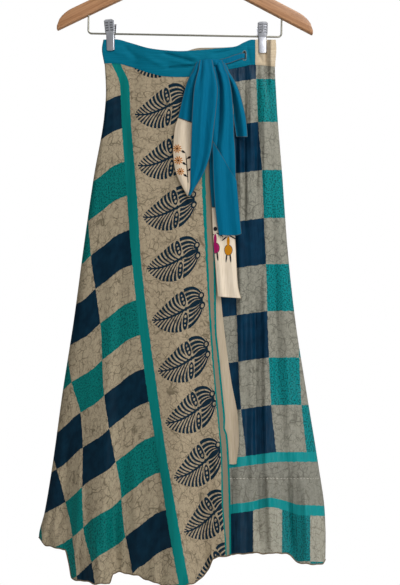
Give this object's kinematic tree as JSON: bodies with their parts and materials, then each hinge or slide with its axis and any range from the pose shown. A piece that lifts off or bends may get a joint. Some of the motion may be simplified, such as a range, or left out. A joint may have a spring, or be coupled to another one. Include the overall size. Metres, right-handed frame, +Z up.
{
  "type": "wrap skirt on a clip hanger",
  "caption": "Long flared wrap skirt with a printed overlap, tie waistband and bow, hung flat from the clips of a wooden hanger.",
  "frame": {"origin": "the highest point of the inside of the hanger's hook, where it bears on a rail", "axes": "+Z up, +X to the right as the front is seen, +Y towards the back"},
  "size_m": [0.5009, 0.1299, 1.1463],
  "materials": {
    "overlap_print": "soft matt printed crepe",
    "underlap_print": "soft matt printed crepe",
    "back_print": "soft matt printed crepe",
    "teal_cloth": "plain woven, slight sheen",
    "cream_cloth": "plain woven, matt with slubs",
    "hanger_wood": "satin lacquered beech",
    "steel_wire": "drawn wire",
    "clip_chrome": "bright plated pressed steel",
    "clip_pad": "matt"
  },
  "bodies": {
    "root": {"overlap_panel": "overlap_print", "underlap_panel": "underlap_print", "underlap_hem_piece": "underlap_print", "back_panel": "back_print", "inner_layer_edge": "cream_cloth", "band_overlap": "teal_cloth", "band_side": "teal_cloth", "band_side_cream": "cream_cloth", "band_back": "cream_cloth", "tie_knot": "teal_cloth", "tie_through_slit": "teal_cloth", "left_loop_back": "teal_cloth", "left_loop_pieced": "cream_cloth", "left_loop_front": "teal_cloth", "right_loop": "teal_cloth", "tail_upper": "teal_cloth", "tail_lower": "teal_cloth", "back_tail_teal": "teal_cloth", "back_tail_cream": "cream_cloth", "hanger_arms": "hanger_wood", "hanger_hook": "steel_wire", "hanger_bar": "steel_wire", "clip_left_front_jaw": "clip_chrome", "clip_left_rear_jaw": "clip_chrome", "clip_left_spring": "clip_chrome", "clip_left_front_pad": "clip_pad", "clip_left_rear_pad": "clip_pad", "clip_right_front_jaw": "clip_chrome", "clip_right_rear_jaw": "clip_chrome", "clip_right_spring": "clip_chrome", "clip_right_front_pad": "clip_pad", "clip_right_rear_pad": "clip_pad"}
  },
  "joints": []
}
